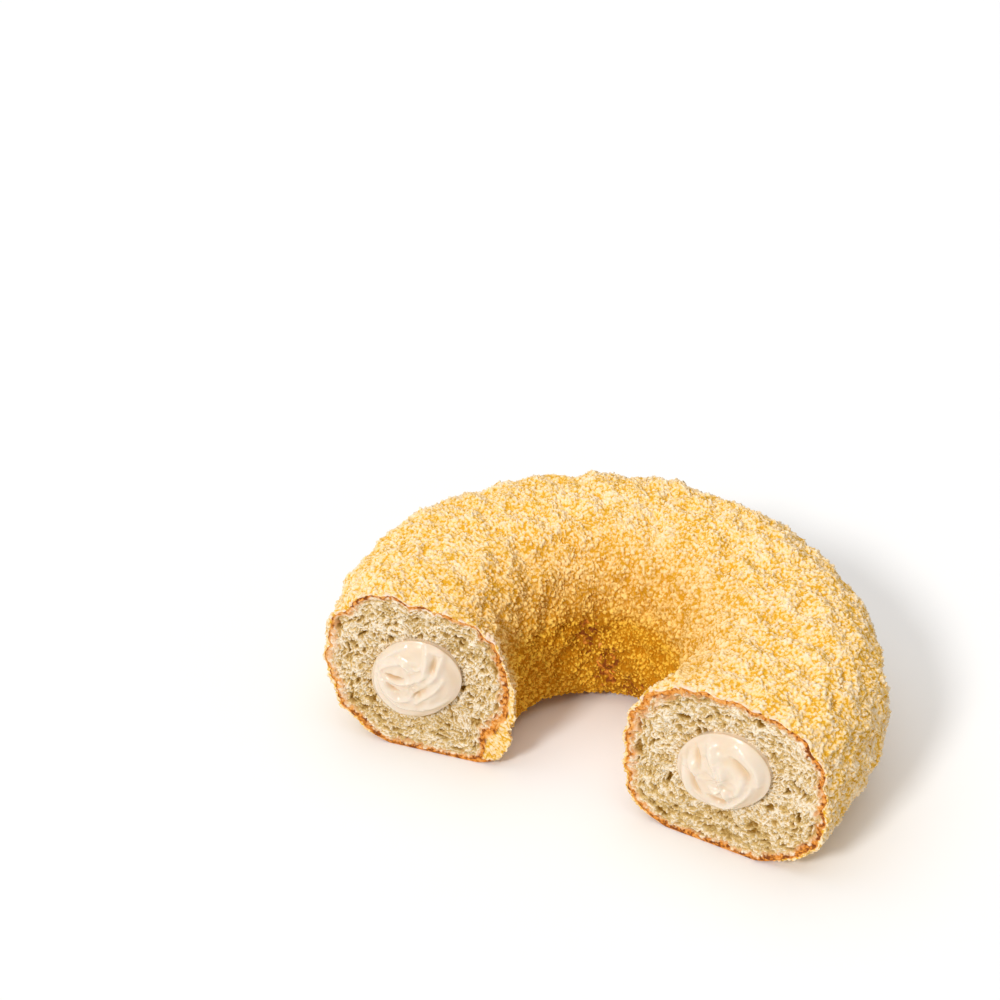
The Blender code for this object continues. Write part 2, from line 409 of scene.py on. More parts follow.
class Graph:
    """The node tree of a new material."""

    def __init__(self, name: str) -> None:
        """Makes the material, with only its output node."""
        self.material = bpy.data.materials.new(name)
        self.material.use_nodes = True
        self.tree = self.material.node_tree
        self.tree.nodes.clear()

    def node(
        self,
        kind: str,
        settings: dict[str, Any] | None = None,
        inputs: dict[Any, Any] | None = None,
        output: int = 0,
    ) -> Wire:
        """Adds a node.

        Args:
            kind: The node's Blender type.
            settings: Its properties; "stops" are a colour ramp's (position, colour) pairs.
            inputs: Values or wires by socket name or number.
            output: Which output the result reads.

        Returns:
            The output as a wire.
        """
        made = self.tree.nodes.new(kind)
        for name, value in (settings or {}).items():
            if name == "stops":
                self._set_stops(made.color_ramp, value)
            else:
                setattr(made, name, value)
        for name, value in (inputs or {}).items():
            if isinstance(value, Wire):
                self.tree.links.new(value.socket, made.inputs[name])
            else:
                made.inputs[name].default_value = value
        return Wire(self, made.outputs[output] if made.outputs else None)

    @staticmethod
    def _set_stops(ramp: bpy.types.ColorRamp, stops: list[tuple[float, tuple[float, ...]]]) -> None:
        """Gives a colour ramp its stops."""
        while len(ramp.elements) < len(stops):
            ramp.elements.new(1.0)
        for element, (position, colour) in zip(ramp.elements, stops):
            element.position = position
            element.color = (*colour, 1.0)

    def attribute(self, name: str) -> Wire:
        """A number stored on the mesh's points."""
        return self.node("ShaderNodeAttribute", {"attribute_name": name}, output=2)

    def mix(self, factor: Any, first: Any, second: Any) -> Wire:
        """A mix of two colours, each a wire or a linear colour."""
        settings = {"data_type": "RGBA"}
        first = first if isinstance(first, Wire) else (*first, 1.0)
        second = second if isinstance(second, Wire) else (*second, 1.0)
        return self.node("ShaderNodeMix", settings, {0: factor, 6: first, 7: second}, output=2)

    def speckle(self, size: float, detail: float = 2.0) -> Wire:
        """Noise in the object's own space, about 0.5, of a size in metres."""
        place = self.node("ShaderNodeTexCoord", output=3)
        return self.node("ShaderNodeTexNoise", None, {"Vector": place, "Scale": 1.0 / size, "Detail": detail})

    def pebbles(self, size: float) -> Wire:
        """Round grains of a size in metres: up to 1 on them, towards 0 between them."""
        place = self.node("ShaderNodeTexCoord", output=3)
        strayed = self.node("ShaderNodeTexNoise", None, {"Vector": place, "Scale": 0.6 / size}, output=1)
        settings = {"operation": "MULTIPLY_ADD"}
        place = self.node("ShaderNodeVectorMath", settings, {0: strayed, 1: (size,) * 3, 2: place})
        return 1.0 - self.node("ShaderNodeTexVoronoi", None, {"Vector": place, "Scale": 1.0 / size})

    def ramp(self, stops: list[tuple[float, tuple[float, ...]]], factor: Wire) -> Wire:
        """A colour that runs through (position, colour) stops as the factor rises."""
        return self.node("ShaderNodeValToRGB", {"stops": stops}, {"Fac": factor})

    def bump(self, height: Wire, strength: float, distance: float) -> Wire:
        """A normal for relief that only the shading shows, so deep in metres."""
        inputs = {"Strength": strength, "Distance": distance, "Height": height}
        return self.node("ShaderNodeBump", None, inputs)

    def finish(self, **sockets: Any) -> bpy.types.Material:
        """Ends the graph in a Principled shader.

        Args:
            sockets: Its inputs, with underscores for spaces.

        Returns:
            The material.
        """
        inputs = {name.replace("_", " "): value for name, value in sockets.items()}
        shader = self.node("ShaderNodeBsdfPrincipled", None, inputs)
        self.node("ShaderNodeOutputMaterial", None, {"Surface": shader})
        return self.material


@dataclass(frozen=True)
class CrustColours:
    """Fried crust: golden orange where it is thin, red-brown where it is dark."""

    light: tuple[float, float, float] = (0.92, 0.51, 0.17)
    middle: tuple[float, float, float] = (0.78, 0.28, 0.032)
    dark: tuple[float, float, float] = (0.24, 0.060, 0.006)

    def wire(self, graph: Graph, size: float, tone: Wire) -> Wire:
        """The crust's colour, with patches of the given size, the darker the higher its tone."""
        stops = [(0.32, self.light), (0.50, self.middle), (0.64, self.dark)]
        return graph.ramp(stops, graph.speckle(size, 4.0) + tone)


@dataclass(frozen=True)
class CoatFinish:
    """Sponge crumbs on fried crust, with painted shade golden where they lie deep and painted light pale
    where they stand up.
    """

    # deep is painted shade for crumbs low between others; golden and pale are the crumbs' own colours, and
    # the last stop is painted light on their tops.
    deep: tuple[float, float, float] = (0.79, 0.41, 0.024)
    golden: tuple[float, float, float] = (0.97, 0.64, 0.20)
    pale: tuple[float, float, float] = (1.0, 0.74, 0.43)
    lit_pale: tuple[float, float, float] = (1.0, 0.83, 0.58)
    # hole and the deeper colour after it are painted shade for the crumbs inside the ring's hole.
    hole: tuple[float, float, float] = (1.0, 0.60, 0.060)
    hole_deep_shade: tuple[float, float, float] = (0.58, 0.23, 0.003)
    thin: tuple[float, float, float] = (0.40, 0.15, 0.003)
    powder: tuple[float, float, float] = (0.95, 0.72, 0.56)
    grain: float = 0.58 * MM
    cloud: float = 4.0 * MM
    spots: float = 1.2 * MM
    relief: float = 0.17 * MM

    def material(self) -> bpy.types.Material:
        """Builds the material."""
        graph = Graph("crumb_coat")
        pebbles = graph.pebbles(self.grain)
        # Painted shade and light: lift and the grains set the colour, darker low and between grains, paler on
        # top.
        height = graph.attribute("lift") * 0.8 + graph.attribute("tint") * 0.14
        height = height + (pebbles - 0.45) * 0.8 + (graph.speckle(self.cloud) - 0.5) * 0.5
        stops = [(0.05, self.deep), (0.24, self.golden), (0.50, self.pale), (0.85, self.lit_pale)]
        # Painted shade in the hole, darker where the crumbs lie low.
        hole_shaded = graph.mix(height.rise(0.12, 0.72), self.hole_deep_shade, self.hole)
        between = graph.attribute("thin") * (1.0 - height.rise(0.25, 0.65))
        hole_shaded = graph.mix(between, hole_shaded, self.thin)
        crumb = graph.mix(graph.attribute("hole_shade"), graph.ramp(stops, height), hole_shaded)
        powder = graph.attribute("powder") * graph.speckle(self.spots).rise(0.45, 0.62)
        crumb = graph.mix(powder, crumb, self.powder)
        crust = CrustColours().wire(graph, self.spots, graph.attribute("tone"))
        colour = graph.mix(graph.attribute("bare"), crumb, crust)
        bump = graph.bump(pebbles, 0.6, self.relief)
        return graph.finish(Base_Color=colour, Roughness=0.8, Specular_IOR_Level=0.12, Normal=bump)


@dataclass(frozen=True)
class BreadFinish:
    """The cut crumb of yeast bread, with its toasted edge and its fried crust, with painted shade in its
    pores and low down and painted light on its raised walls.
    """

    # The pale wall colour is partly painted light on the raised bits; the pore colour is painted shade in the
    # pores.
    wall: tuple[float, float, float] = (1.0, 0.87, 0.68)
    crumb: tuple[float, float, float] = (0.74, 0.51, 0.19)
    pore_shade: tuple[float, float, float] = (0.28, 0.13, 0.006)
    toast: tuple[float, float, float] = (0.82, 0.44, 0.19)
    toast_spots: float = 1.2 * MM
    crust_spots: float = 0.8 * MM
    relief: float = 0.16 * MM

    def material(self) -> bpy.types.Material:
        """Builds the material."""
        graph = Graph("cut_bread")
        # Painted shade and light: the deeper a point lies in a pore, the darker; raised bits come out pale.
        stops = [(0.0, self.wall), (0.35, self.crumb), (1.0, self.pore_shade)]
        mottle = graph.speckle(0.6 * MM) * 0.4 + graph.speckle(0.30 * MM) * 0.5 - 0.45
        colour = graph.ramp(stops, graph.attribute("pore_shade") + mottle)
        toast = graph.attribute("toast") * graph.speckle(self.toast_spots, 3.0).rise(0.30, 0.60)
        colour = graph.mix(toast, colour, self.toast)
        crust = CrustColours().wire(graph, self.crust_spots, graph.attribute("tone"))
        colour = graph.mix(graph.attribute("crust"), colour, crust)
        bump = graph.bump(graph.speckle(0.25 * MM, 3.0), 0.8, self.relief)
        return graph.finish(Base_Color=colour, Roughness=0.65, Specular_IOR_Level=0.2, Normal=bump)


@dataclass(frozen=True)
class CreamFinish:
    """Whipped cream: ivory, glossy, with light soaking into it and painted shade in the creases between its
    folds.
    """

    colour: tuple[float, float, float] = (0.84, 0.72, 0.58)
    # fold is painted shade for the creases, left off the ridges.
    fold: tuple[float, float, float] = (0.78, 0.56, 0.34)

    def material(self) -> bpy.types.Material:
        """Builds the material."""
        graph = Graph("whipped_cream")
        colour = graph.mix(graph.attribute("crease").rise(0.0, 1.0), self.colour, self.fold)
        return graph.finish(
            Base_Color=colour,
            Roughness=0.25,
            Specular_IOR_Level=0.6,
            Subsurface_Weight=0.25,
            Subsurface_Radius=(1.2 * MM, 0.7 * MM, 0.4 * MM),
            Subsurface_Scale=1.0,
        )


def deselect_all() -> None:
    """Leaves no object selected or active."""
    bpy.ops.object.select_all(action="DESELECT")
    bpy.context.view_layer.objects.active = None


def add_numbers(mesh: bpy.types.Mesh, name: str, values: np.ndarray) -> None:
    """Stores one number on each point of a mesh."""
    layer = mesh.attributes.new(name, "FLOAT", "POINT")
    layer.data.foreach_set("value", np.ascontiguousarray(values, dtype=np.float32))


def hand_over(piece: bpy.types.Object, node: str) -> None:
    """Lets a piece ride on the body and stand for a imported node."""
    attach(piece, "root")
    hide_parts(node)
    triangles = len(piece.data.loops) - 2 * len(piece.data.polygons)
    log.info("%s: %d triangles", piece.name, triangles)


def read_vectors(mesh: bpy.types.Mesh, name: str) -> np.ndarray:
    """The points' "co" or "normal", one in each row."""
    values = np.empty(len(mesh.vertices) * 3)
    mesh.vertices.foreach_get(name, values)
    return values.reshape(-1, 3)


def set_points(piece: bpy.types.Object, points: np.ndarray) -> None:
    """Moves every point of a piece."""
    piece.data.vertices.foreach_set("co", np.ascontiguousarray(points, dtype=np.float32).ravel())
    piece.data.update()


def add_sheet(name: str, columns: int, rows: int) -> tuple[bpy.types.Object, np.ndarray, np.ndarray]:
    """A flat sheet of quads, to be rolled up round its columns.

    Args:
        name: The sheet's name.
        columns: How many quads there are across.
        rows: How many quads there are along.

    Returns:
        The sheet, and the column and the row of each of its points; the last column is the first.
    """
    deselect_all()
    bpy.ops.mesh.primitive_grid_add(x_subdivisions=columns, y_subdivisions=rows, size=2)
    sheet = bpy.context.object
    sheet.name = sheet.data.name = name
    local = (read_vectors(sheet.data, "co") + 1) / 2
    column = np.rint(local[:, 0] * columns).astype(int) % columns
    return sheet, column, np.rint(local[:, 1] * rows).astype(int)


def add_skin(
    name: str,
    rings: np.ndarray,
    numbers: dict[str, np.ndarray],
    material: bpy.types.Material,
    flat_ends: bool,
) -> bpy.types.Object:
    """A closed smooth skin over rings of points, drawn to a point at both ends.

    Args:
        name: The piece's name.
        rings: Positions by ring and column.
        numbers: Values by name, by ring and column.
        material: Its finish.
        flat_ends: Whether its ends are flat cuts, set off from the skin by a sharp edge.

    Returns:
        The new object.
    """
    ends = [np.broadcast_to(ring.mean(axis=0), ring.shape) for ring in (rings[0], rings[-1])]
    grid = np.concatenate([ends[:1], rings, ends[1:]])
    skin, column, row = add_sheet(name, grid.shape[1], len(grid) - 1)
    set_points(skin, grid[row, column])
    ring = np.clip(row - 1, 0, len(rings) - 1)
    for key, values in numbers.items():
        add_numbers(skin.data, key, values[ring, column])
    bpy.ops.object.mode_set(mode="EDIT")
    bpy.ops.mesh.select_all(action="SELECT")
    bpy.ops.mesh.remove_doubles(threshold=SEAM_MERGE)
    bpy.ops.mesh.normals_make_consistent(inside=False)
    bpy.ops.object.mode_set(mode="OBJECT")
    skin.data.shade_smooth()
    if flat_ends:
        corners = np.empty(len(skin.data.polygons), dtype=np.int32)
        skin.data.polygons.foreach_get("loop_total", corners)
        skin.data.polygons.foreach_set("use_smooth", corners == 4)
    skin.data.materials.append(material)
    return skin


@dataclass(frozen=True)
class Patch:
    """A place in the hole where the fried crust shows through the crumbs.

    Attributes:
        heading: Its direction from the axis in degrees.
        level: Its height.
        spread: Its reach in degrees round the axis.
        rise: Its reach in height.
        strength: How bare it is, from 0 to 1.
    """

    heading: float
    level: float
    spread: float
    rise: float
    strength: float


@dataclass
class CrumbCoat:
    """The crumbs on the risen ring as one rough skin, in wedges about the axis.

    At each cut it turns in over the coat's own section and then hollows, so that the slice of
    bread fits in front of it.
    """

    form: RingForm
    inset: float = 0.0009
    coat: float = 0.00012
    ragged: float = 0.00070
    corner_coat: float = 0.0044
    corner_angle: float = 210.0
    corner_spread: float = 24.0
    hollow: tuple[tuple[float, float], ...] = ((0.0016, 0.0026), (0.0005, 0.0006))
    strip_rows: int = 12
    rows: int = 1040
    columns: int = 640
    flat_share: float = 0.4
    wedges: int = 10
    proud_of_cut: float = 0.00035
    pile_depth: float = 0.00090
    clumps: tuple[tuple[float, float], ...] = ((2.2 * MM, 0.30), (1.2 * MM, 0.26))
    layers: tuple[CrumbLayer, ...] = (
        CrumbLayer(0.52 * MM, 9, 0.17 * MM, 0.42 * MM, 0.14 * MM, 0.09 * MM),
        CrumbLayer(0.31 * MM, 21, 0.12 * MM, 0.20 * MM, 0.03 * MM, 0.05 * MM),
    )
    patches: tuple[Patch, ...] = (
        Patch(116, 0.0160, 15, 0.0070, 0.80),
        Patch(104, 0.0095, 13, 0.0055, 1.0),
        Patch(84, 0.0050, 15, 0.0045, 1.0),
    )

    def __post_init__(self) -> None:
        """Lays out the rings, heaps the crumbs on them and notes what their finish reads."""
        self.angles = self.form.even_angles(self.columns, self.flat_share)
        runs, turns = np.meshgrid(np.linspace(0.0, 1.0, self.rows), self.angles, indexing="ij")
        points, normals = (flat.reshape(-1, 3) for flat in self.form.surface(runs, turns, self.inset))
        points = points + self.form.unevenness(points, normals)
        shape = (self.rows, self.columns, 3)
        left, right = self._cut_rings(Side.LEFT), self._cut_rings(Side.RIGHT)
        rings = [left[0], points.reshape(shape)[1:-1], right[0][::-1]]
        directions = [left[1], normals.reshape(shape)[1:-1], right[1][::-1]]
        feet, ups = np.concatenate(rings).reshape(-1, 3), np.concatenate(directions).reshape(-1, 3)
        strip = np.array([0.0] * len(self.hollow) + list(np.linspace(0.0, 1.0, self.strip_rows + 1)))
        strip = np.concatenate([strip, np.ones(self.rows - 2), strip[::-1]])
        cover = np.repeat(smoothstep(0.0, 0.35, strip), self.columns)
        cover *= smoothstep(0.0008, 0.0022, feet[:, 2] + 0.0005 * perlin(feet, 0.0015))

        thin, bare, inward = self._bareness(feet, ups)
        pile = self.piles(feet) * (1.0 - 0.6 * thin)
        lean = self._lean(feet, ups)
        raised = feet + lean * (self.pile_depth * pile * cover)[:, None]
        (height, tint), (low, low_tint) = (layer.tops(raised, lean) for layer in self.layers)
        tint = np.where(height > low, tint, low_tint)
        height = np.maximum(height, low) * (1.0 - 0.8 * bare)
        points = self._keep_behind_cuts(raised + lean * (height * cover)[:, None])
        points[:, 2] = np.maximum(points[:, 2], 0.0)
        shape = (-1, self.columns)
        self.rings = points.reshape(*shape, 3)
        bare = np.maximum(bare, 1.0 - smoothstep(0.3, 0.8, cover))
        numbers = {
            # lift feeds painted shade low between the crumbs and painted light on their tops.
            "lift": 1.5 * height / MM + 0.55 * pile,
            "tint": tint,
            # painted shade inside the hole, deeper lower down and nearer the axis
            "hole_shade": self._hole_shade(feet, inward),
            "thin": thin,
            "bare": bare,
            "tone": 0.12 * inward,
            "powder": self._powder(feet),
        }
        self.numbers = {name: values.reshape(shape) for name, values in numbers.items()}

    def outline(self, side: Side, angles: np.ndarray) -> np.ndarray:
        """The coat's outer edge on a cut, one point for each section angle."""
        run = np.full(len(angles), 0.0 if side is Side.LEFT else 1.0)
        points, normals = self.form.surface(run, angles, self.inset)
        points = points + self.form.unevenness(points, normals)
        return self.form.flatten_to_cut(side, points)

    def coat_width(self, side: Side, angles: np.ndarray, outer: np.ndarray) -> np.ndarray:
        """How wide the coat shows in its own section at a cut.

        Args:
            side: The arm; one corner of the left one has a thick coat.
            angles: Where round the section.
            outer: The coat's outer edge there.

        Returns:
            A width for each angle.
        """
        tatters = perlin(outer, 0.9 * MM) + 0.35 * perlin(outer, 0.4 * MM)
        width = self.coat + self.ragged * np.maximum(tatters, 0.0)
        if side is Side.LEFT:
            away = (angles - math.radians(self.corner_angle) + math.pi) % (2 * math.pi) - math.pi
            width += self.corner_coat * np.exp(-((np.degrees(away) / self.corner_spread) ** 2))
        return width

    def _inwards(self, side: Side, points: np.ndarray) -> np.ndarray:
        """Directions from points on a cut to the middle of the cream."""
        return unit(self.form.cut_plane(side)[0] + UP * self.form.cream_level - points)

    def bread_outline(self, side: Side, angles: np.ndarray) -> np.ndarray:
        """The bread's outer edge on a cut, inside the coat."""
        outer = self.outline(side, angles)
        return outer + self._inwards(side, outer) * self.coat_width(side, angles, outer)[:, None]

    def _cut_rings(self, side: Side) -> tuple[np.ndarray, np.ndarray]:
        """The rings of points at a cut, from the hollow's floor out to the coat's outer edge.

        Args:
            side: The arm.

        Returns:
            The rings, and the directions in which crumbs stand up from them.
        """
        outer, inner = self.outline(side, self.angles), self.bread_outline(side, self.angles)
        inwards, normal = self._inwards(side, inner), self.form.cut_plane(side)[1]
        run = np.full(self.columns, 0.0 if side is Side.LEFT else 1.0)
        outwards = self.form.surface(run, self.angles, self.inset)[1]
        rings = [inner + inwards * shift - normal * depth for shift, depth in self.hollow]
        directions = [np.broadcast_to(normal, inner.shape)] * len(rings)
        for share in np.linspace(0.0, 1.0, self.strip_rows + 1):
            rings.append(inner + (outer - inner) * share)
            directions.append(unit(outwards * share + normal * 0.2))
        return np.array(rings), np.array(directions)

    def _lean(self, points: np.ndarray, ups: np.ndarray) -> np.ndarray:
        """The directions in which crumbs stand up, which lean out over a cut close to it."""
        for side in Side:
            near = np.exp(-((self._behind(side, points) / (0.5 * MM)) ** 2))
            ups = ups + near[:, None] * self.form.cut_plane(side)[1]
        return unit(ups)

    def piles(self, points: np.ndarray) -> np.ndarray:
        """How high the crumbs are piled at each point, about 0 to 1: swells, with clumps on them."""
        pile = 0.18 + 0.25 * perlin(points, 3.6 * MM)
        strayed = points + 0.30 * MM * warp(points, 0.9 * MM)
        for index, (size, share) in enumerate(self.clumps):
            first, second, number = CellNoise(size, 5 + index).nearest(strayed)
            pile += share * (0.15 + number) * smoothstep(0.0, 0.60, second - first)
        return np.clip(pile, 0.0, 1.2)

    def _keep_behind_cuts(self, points: np.ndarray) -> np.ndarray:
        """Moves back what would stand too far out of a cut."""
        for side in Side:
            past = np.maximum(-self._behind(side, points), 0.0)
            kept = self.proud_of_cut * (1.0 - np.exp(-past / self.proud_of_cut))
            points = points - (past - kept)[:, None] * self.form.cut_plane(side)[1]
        return points

    def _bareness(self, points: np.ndarray, ups: np.ndarray) -> tuple[np.ndarray, np.ndarray, np.ndarray]:
        """How thin the crumbs lie, how far the crust shows and how far a point faces the hole.

        Args:
            points: Positions, one in each row.
            ups: The directions in which crumbs stand up there.

        Returns:
            The three numbers for each point, from 0 to 1.
        """
        away = (points - self.form.centre) * np.array([1.0, 1.0, 0.0])
        inward = np.clip(-(ups * unit(away)).sum(axis=1) * 1.15, 0.0, 1.0)
        heading = (np.degrees(np.arctan2(away[:, 1], away[:, 0])) + 90.0) % 360.0 - 90.0
        thin = np.zeros(len(points))
        for patch in self.patches:
            far = ((heading - patch.heading) / patch.spread) ** 2
            far = far + ((points[:, 2] - patch.level) / patch.rise) ** 2
            thin = np.maximum(thin, patch.strength * np.exp(-far) * smoothstep(0.2, 0.6, inward))
        broken = 0.50 + 0.8 * perlin(points, 1.3 * MM) + 0.8 * perlin(points, 0.6 * MM)
        return thin, smoothstep(0.40, 0.62, thin * broken), inward

    def _hole_shade(self, points: np.ndarray, inward: np.ndarray) -> np.ndarray:
        """How far each point takes the hole's golden painted shade, from 0 to 1."""
        away = np.linalg.norm((points - self.form.centre) * np.array([1.0, 1.0, 0.0]), axis=1)
        # Painted shade: stronger facing the hole, lower down and near the axis; it fades at the cuts.
        low = 1.0 - smoothstep(0.010, 0.031, points[:, 2])
        close = 0.25 * (1.0 - smoothstep(0.014, 0.030, away))
        hole_shade_share = np.clip(inward * (0.25 + 0.85 * low) + close, 0.0, 1.0)
        for side in Side:
            hole_shade_share = hole_shade_share * smoothstep(-0.0005, 0.0035, self._behind(side, points))
        return hole_shade_share

    def _behind(self, side: Side, points: np.ndarray) -> np.ndarray:
        """How far each point lies behind a cut; points of the other arm lie far behind it."""
        middle, normal, _ = self.form.cut_plane(side)
        other = (points[:, 0] - self.form.centre_x) * side.value <= 0
        return -(points - middle) @ normal + other * 1.0

    def _powder(self, points: np.ndarray) -> np.ndarray:
        """How far powdered sugar from the cut's edge lies on each point, from 0 to 1."""
        powder = np.zeros(len(points))
        for side in Side:
            behind = self._behind(side, points) / MM + 0.5 * perlin(points, 0.0018)
            powder += (1.0 - smoothstep(0.0, 0.8, behind)) * smoothstep(0.018, 0.027, points[:, 2])
        return powder

    def build(self, wedge: int, material: bpy.types.Material) -> bpy.types.Object:
        """Builds one wedge of the coat.

        Args:
            wedge: Its number, from the left cut to the right one.
            material: Its finish.

        Returns:
            The piece.
        """
        ends = np.linspace(0, len(self.rings) - 1, self.wedges + 1).astype(int)
        rows = slice(ends[wedge], ends[wedge + 1] + 1)
        numbers = {name: values[rows] for name, values in self.numbers.items()}
        return add_skin(f"coat_{wedge + 1:02d}", self.rings[rows], numbers, material, flat_ends=True)


@dataclass(frozen=True)
class Rim:
    """The crust at one place round a slice of bread.

    Attributes:
        angle: The place, in degrees round the section: 0 looks away from the axis, 90 looks up.
        crust: How wide the brown line is, in millimetres.
        toast: How deep the bread is toasted behind it, in millimetres.
        tone: How much darker than elsewhere the crust is there.
    """

    angle: float
    crust: float
    toast: float
    tone: float


RIMS = {
    Side.LEFT: (
        Rim(0, 0.30, 2.0, -0.10),
        Rim(50, 0.45, 0.9, 0.02),
        Rim(75, 0.60, 0.5, 0.10),
        Rim(100, 0.50, 0.5, -0.04),
        Rim(125, 0.65, 0.6, 0.06),
        Rim(150, 0.90, 0.9, 0.00),
        Rim(190, 1.00, 1.3, 0.00),
        Rim(215, 0.60, 0.9, 0.06),
        Rim(245, 0.65, 0.7, 0.05),
        Rim(300, 0.80, 0.7, 0.07),
        Rim(335, 0.60, 1.5, 0.00),
    ),
    Side.RIGHT: (
        Rim(0, 0.80, 1.0, 0.00),
        Rim(30, 0.80, 0.8, 0.10),
        Rim(60, 0.85, 0.7, 0.02),
        Rim(100, 0.95, 0.6, -0.03),
        Rim(140, 1.25, 1.8, -0.04),
        Rim(175, 0.60, 1.8, -0.06),
        Rim(205, 0.45, 1.2, 0.00),
        Rim(240, 0.70, 0.7, 0.05),
        Rim(290, 0.90, 0.8, 0.08),
        Rim(335, 0.80, 0.9, 0.04),
    ),
}


@dataclass
class BreadSlice:
    """The bread that shows in one cut: a thick slice with open pores, round the cream."""

    form: RingForm
    coat: CrumbCoat
    side: Side
    thickness: float = 0.0038
    taper: float = 0.84
    columns: int = 800
    rows: int = 92
    channel_share: float = 0.84
    drum: float = 9.0 * MM
    seam_merge: float = 0.000002
    foam: tuple[tuple[float, float, float], ...] = (
        (1.7 * MM, 0.24, 0.92 * MM),
        (1.0 * MM, 0.42, 0.66 * MM),
        (0.62 * MM, 0.70, 0.46 * MM),
        (0.38 * MM, 0.95, 0.30 * MM),
    )

    def _pores(self, places: np.ndarray) -> np.ndarray:
        """How deep the bread's bubbles reach.

        Args:
            places: Positions, one in each row, in a space where the bubbles are round.

        Returns:
            A depth for each row, in metres.
        """
        shift = warp(places, 0.0009)
        depth = np.zeros(len(places))
        for index, (size, share, reach) in enumerate(self.foam):
            cells = CellNoise(size, 40 + 7 * index + self.side.value)
            first, second, number = cells.nearest(places + shift * size * 0.30)
            hollow = smoothstep(0.06, 0.42, second - first)
            depth = np.maximum(depth, (number < share) * hollow * reach * (0.6 + 0.6 * number / share))
        return depth

    def _rim_numbers(self, angles: np.ndarray, rim: np.ndarray, places: np.ndarray) -> dict[str, np.ndarray]:
        """How far each point is crust, how far it is toasted and how dark the crust is.

        Args:
            angles: The points' section angles in radians.
            rim: Their distances from the bread's edge in metres.
            places: Their positions.

        Returns:
            The numbers "crust", "toast" and "tone" for each point.
        """
        knots = RIMS[self.side]
        turn, at = np.degrees(angles) % 360.0, [knot.angle for knot in knots]
        crust = np.interp(turn, at, [knot.crust for knot in knots], period=360)
        toast = np.interp(turn, at, [knot.toast for knot in knots], period=360)
        tone = np.interp(turn, at, [knot.tone for knot in knots], period=360)
        wander = 0.45 * perlin(places, 1.3 * MM) + 0.55 * perlin(places, 0.5 * MM)
        edge = rim / MM + wander * np.minimum(crust + 0.3, 1.0)
        line = 1.0 - smoothstep(crust - 0.20, crust + 0.12, edge)
        browned = 1.0 - smoothstep(crust, crust + toast + 0.1, edge + 0.5 * wander)
        return {"crust": line, "toast": browned, "tone": tone}

    def build(self, material: bpy.types.Material) -> bpy.types.Object:
        """Builds the slice.

        Args:
            material: Its finish.

        Returns:
            The piece, with the numbers for its painted pore shade, "crust", "toast" and "tone" on its points.
        """
        slab, column, row = add_sheet(f"bread_{self.side.name.lower()}", self.columns, self.rows)
        across = row / self.rows
        angles = self.form.even_angles(self.columns)
        outer = self.coat.bread_outline(self.side, angles)
        outer[:, 2] = np.maximum(outer[:, 2], 0.02 * MM)
        middle, normal, _ = self.form.cut_plane(self.side)
        along = np.cross(UP, normal) * self.side.value
        middle = middle + along * self.form.cream_offset + UP * self.form.cream_level
        offset = outer - middle
        turn = np.arctan2(offset @ UP, offset @ along)
        oval_out = self.form.cream_half_width * self.channel_share * np.cos(turn)
        oval_up = self.form.cream_half_height * self.channel_share * np.sin(turn)
        inner = middle + oval_out[:, None] * along + oval_up[:, None] * UP
        width = np.linalg.norm(outer - inner, axis=1)

        places = inner[column] + (outer - inner)[column] * across[:, None]
        rim = (1 - across) * width[column]
        out, up = self.drum * np.cos(turn)[column], self.drum * np.sin(turn)[column]
        polar = np.stack([out, up, rim * 1.35], axis=1)
        pores = self._pores(polar) * smoothstep(0.4 * MM, 1.3 * MM, rim)
        numbers = self._rim_numbers(angles[column], rim, places)
        swell = 0.40 * MM * perlin(places, 3.0 * MM)
        rough = 0.18 * MM * perlin(places, 0.6 * MM) + 0.14 * MM * perlin(places, 0.3 * MM)
        crag = 0.35 * MM * perlin(places, 0.8 * MM) * numbers["crust"] * smoothstep(0.0, 0.3 * MM, rim)
        height = (swell + rough - pores) * smoothstep(0.0, 0.4 * MM, rim) + crag
        set_points(slab, places + normal * height[:, None])
        # Painted shade: darker deep in the pores and towards the bottom, paler on raised bits.
        low = 1.0 - smoothstep(2.0 * MM, 14.0 * MM, places[:, 2])
        numbers["pore_shade"] = (pores - swell * 0.4 - rough * 1.2) / (0.9 * MM) + 0.10 * low
        for name, values in numbers.items():
            add_numbers(slab.data, name, values)
        self._close(slab, middle, normal)
        slab.data.shade_smooth()
        slab.data.materials.append(material)
        return slab

    def _close(self, slab: bpy.types.Object, middle: np.ndarray, normal: np.ndarray) -> None:
        """Joins the sheet's seam and gives it a tapered side and a back, inside the turning ring.

        Args:
            slab: The sheet.
            middle: The middle of the cream in the cut.
            normal: The cut's outward normal.
        """
        bpy.ops.object.mode_set(mode="EDIT")
        bpy.ops.mesh.select_all(action="SELECT")
        bpy.ops.mesh.remove_doubles(threshold=self.seam_merge)
        bpy.ops.mesh.select_all(action="DESELECT")
        bpy.ops.mesh.select_mode(type="EDGE")
        bpy.ops.mesh.select_non_manifold()
        back = -normal * self.thickness
        bpy.ops.mesh.extrude_region_move(TRANSFORM_OT_translate={"value": tuple(back)})
        bpy.ops.transform.resize(value=(self.taper,) * 3, center_override=tuple(middle + back))
        bpy.ops.mesh.bridge_edge_loops()
        bpy.ops.mesh.select_all(action="SELECT")
        bpy.ops.mesh.normals_make_consistent(inside=False)
        bpy.ops.object.mode_set(mode="OBJECT")


